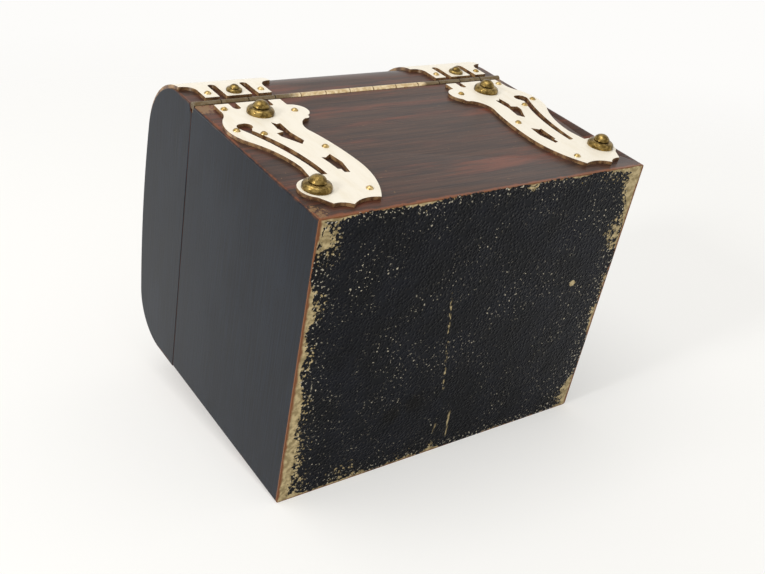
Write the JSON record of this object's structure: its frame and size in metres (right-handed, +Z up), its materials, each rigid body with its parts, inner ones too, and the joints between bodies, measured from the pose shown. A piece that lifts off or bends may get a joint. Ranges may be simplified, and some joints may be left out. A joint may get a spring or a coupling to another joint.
{
  "type": "puzzle box",
  "caption": "Dome-lidded wooden casket with pierced bone straps, brass bosses, a full-width knuckled hinge and a concealed catch thrown by a turning boss.",
  "frame": {"origin": "centre of the base's underside, where the box stands", "axes": "+Z up, hinge and straps at the back on +Y, turning boss on the front at -Y, width along X"},
  "size_m": [0.13, 0.119, 0.1123],
  "materials": {
    "veneer": "dark brown veneer with reddish streaks, worn polish",
    "ebonised_wood": "ebonised, satin",
    "carcase_wood": "bare",
    "grained_paper": "black pebble-grained paper, worn at the edges",
    "lining": "woven lining on card",
    "bone": "polished bone",
    "brass": "aged, handled",
    "screw_brass": "dull"
  },
  "bodies": {
    "casket": {"front_panel": "veneer", "back_panel": "veneer", "right_end": "ebonised_wood", "left_end": "ebonised_wood", "base_board": "carcase_wood", "base_paper": "grained_paper", "front_lining": "lining", "back_lining": "lining", "right_lining": "lining", "left_lining": "lining", "base_lining": "lining", "right_back_strap": "bone", "left_back_strap": "bone", "front_plate": "bone", "back_bosses": "brass", "back_pins": "brass", "front_pins": "brass", "hinge_lower_leaf": "brass", "hinge_pin": "brass", "catch_cap": "brass", "hinge_lower_screws": "screw_brass", "cap_screws": "screw_brass"},
    "lid": {"lid_front_rail": "veneer", "lid_back_rail": "veneer", "lid_crown": "veneer", "lid_right_end": "ebonised_wood", "lid_left_end": "ebonised_wood", "lid_lining": "lining", "hinge_upper_leaf": "brass", "hinge_upper_screws": "screw_brass", "right_lid_strap": "bone", "left_lid_strap": "bone", "lid_bosses": "brass", "lid_pins": "brass", "strike_plate": "brass", "strike_screws": "screw_brass"},
    "turning_boss": {"turning_boss": "brass", "crank_disc": "brass"},
    "bolt": {"catch_bolt": "brass"}
  },
  "joints": [
    {"name": "lid_hinge", "type": "hinge", "parent": "casket", "child": "lid", "pos_m": [0, 0.0516, 0.078], "axis": [-1, 0, 0], "range_deg": [0, 95]},
    {"name": "boss_turn", "type": "hinge", "parent": "casket", "child": "turning_boss", "pos_m": [0, -0.052, 0.06], "axis": [0, 1, 0], "range_deg": [0, 90]},
    {"name": "bolt_slide", "type": "slide", "parent": "casket", "child": "bolt", "axis": [1, 0, 0], "range_m": [0, 0.00495]}
  ],
  "couplings": [
    {"joint": "boss_turn", "follows": "bolt_slide", "rad_per_m": 317.33}
  ]
}
